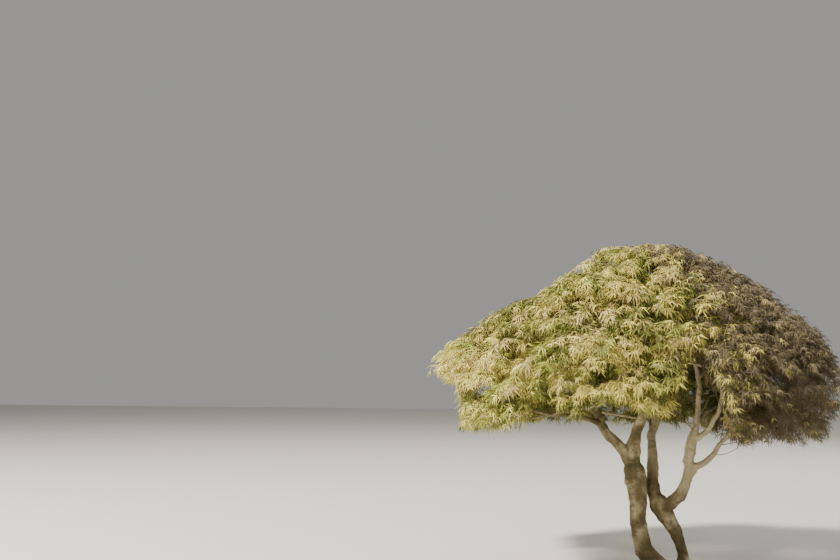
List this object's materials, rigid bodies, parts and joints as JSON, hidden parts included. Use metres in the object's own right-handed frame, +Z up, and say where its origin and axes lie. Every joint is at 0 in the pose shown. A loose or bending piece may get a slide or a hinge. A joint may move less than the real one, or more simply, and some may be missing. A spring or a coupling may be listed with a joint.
{
  "type": "laceleaf maple tree",
  "caption": "Low weeping garden tree: forking smooth-barked stems from one root, arching boughs and a broad domed crown of drooping, finely cut leaves.",
  "frame": {"origin": "middle of the flat ground-level cut under the left stem, the thicker of the two", "axes": "+Z up the tree, +X to the right seen from the front, +Y to the back; the front, the side the picture shows, faces -Y"},
  "size_m": [2.9443, 2.7882, 2.3812],
  "materials": {
    "bark": "smooth grey-beige bark, matte",
    "foliage_straw": "straw-coloured leaves, soft sheen",
    "foliage_lime": "yellow-green leaves, soft sheen",
    "foliage_rust": "dull rose-brown leaves, matte"
  },
  "bodies": {
    "root": {"left_stem": "bark", "right_stem": "bark", "middle_limb": "bark", "left_limb": "bark", "back_limb": "bark", "right_limb": "bark", "upright_limb": "bark", "low_right_limb": "bark", "inner_right_limb": "bark", "upper_bough_1": "bark", "upper_bough_2": "bark", "upper_bough_4": "bark", "upper_bough_5": "bark", "upper_bough_6": "bark", "middle_bough_2": "bark", "middle_bough_3": "bark", "middle_bough_4": "bark", "middle_bough_6": "bark", "middle_bough_7": "bark", "middle_bough_9": "bark", "skirt_bough_1": "bark", "skirt_bough_2": "bark", "skirt_bough_3": "bark", "skirt_bough_5": "bark", "skirt_bough_6": "bark", "skirt_bough_7": "bark", "skirt_bough_8": "bark", "skirt_bough_9": "bark", "top_mass_1": "foliage_straw", "upper_mass_1": "foliage_straw", "upper_mass_2": "foliage_straw", "upper_mass_3": "foliage_rust", "upper_mass_4": "foliage_straw", "upper_mass_5": "foliage_straw", "upper_mass_6": "foliage_straw", "middle_mass_1": "foliage_straw", "middle_mass_2": "foliage_straw", "middle_mass_3": "foliage_straw", "middle_mass_4": "foliage_straw", "middle_mass_5": "foliage_rust", "middle_mass_6": "foliage_rust", "middle_mass_7": "foliage_straw", "middle_mass_8": "foliage_straw", "middle_mass_9": "foliage_straw", "skirt_mass_1": "foliage_lime", "skirt_mass_2": "foliage_lime", "skirt_mass_3": "foliage_rust", "skirt_mass_4": "foliage_rust", "skirt_mass_5": "foliage_rust", "skirt_mass_6": "foliage_lime", "skirt_mass_7": "foliage_lime", "skirt_mass_8": "foliage_lime", "skirt_mass_9": "foliage_lime"}
  },
  "joints": []
}
